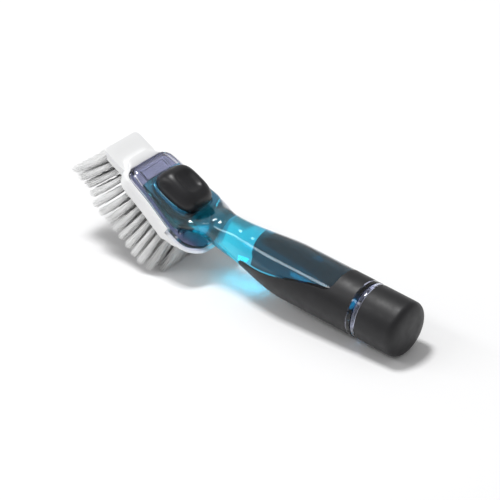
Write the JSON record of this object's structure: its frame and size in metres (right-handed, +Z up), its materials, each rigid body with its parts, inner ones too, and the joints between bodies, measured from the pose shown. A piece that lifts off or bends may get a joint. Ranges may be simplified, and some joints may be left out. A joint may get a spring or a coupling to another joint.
{
  "type": "dish wand",
  "caption": "Soap-dispensing dish wand: clear liquid-filled handle with black grip, thumb button valve, screw end cap and a detachable white brush head.",
  "frame": {"origin": "centre of the footprint, on the floor the wand lies on", "axes": "+X from the brush head towards the end cap, +Z up, +Y to the left of the thumb button seen from the cap"},
  "size_m": [0.2662, 0.0614, 0.0686],
  "materials": {
    "clear_body": "clear polished plastic, faint violet tint",
    "blue_soap": "clear blue liquid",
    "black_soft": "matte soft-touch",
    "dark_seal": "matte",
    "pale_seal": "matte silicone",
    "pale_plastic": "moulded",
    "white_plastic": "moulded satin",
    "bristle": "soft nylon",
    "steel": "drawn"
  },
  "bodies": {
    "handle": {"handle_shell": "clear_body", "head_base": "clear_body", "grip_sleeve": "black_soft", "soap_fill": "blue_soap", "valve_seat": "dark_seal", "button_guide": "pale_plastic", "stem_seal": "dark_seal", "return_spring": "steel"},
    "button": {"button_skin": "black_soft", "button_core": "pale_plastic", "valve_stem": "steel", "valve_plug": "dark_seal", "stem_clip": "steel"},
    "washer": {"cap_seal": "pale_seal"},
    "cap": {"cap_liner": "clear_body", "cap_grip": "black_soft"},
    "refill": {"brush_block": "white_plastic", "outlet_valve": "pale_seal", "inlet_gasket": "dark_seal", "tab_pin": "steel", "bristles_front": "bristle", "bristles_left": "bristle", "bristles_right": "bristle", "bristles_center": "bristle"},
    "tab": {"release_tab": "white_plastic"}
  },
  "joints": [
    {"name": "button_press", "type": "slide", "parent": "handle", "child": "button", "axis": [-0.5011, 0, -0.8654], "range_m": [0, 0.0024], "stiffness_N_per_m": 900, "springref_m": -0.0012, "deforming": ["return_spring"]},
    {"name": "cap_turn", "type": "hinge", "parent": "washer", "child": "cap", "pos_m": [0.09922, 0, 0.02081], "axis": [0.9968, 0, -0.0797], "range_deg": [0, 720]},
    {"name": "cap_travel", "type": "slide", "parent": "handle", "child": "washer", "axis": [0.9968, 0, -0.0797], "range_m": [0, 0.006]},
    {"name": "head_release", "type": "slide", "parent": "handle", "child": "refill", "axis": [-0.5011, 0, -0.8654], "range_m": [0, 0.025]},
    {"name": "tab_flex", "type": "hinge", "parent": "refill", "child": "tab", "pos_m": [-0.03345, 0, 0.02529], "axis": [0, -1, 0], "range_deg": [0, 12], "stiffness_Nm_per_rad": 0.06, "springref_deg": -5.73}
  ],
  "couplings": [
    {"joint": "cap_turn", "follows": "cap_travel", "rad_per_m": 2094.4}
  ]
}
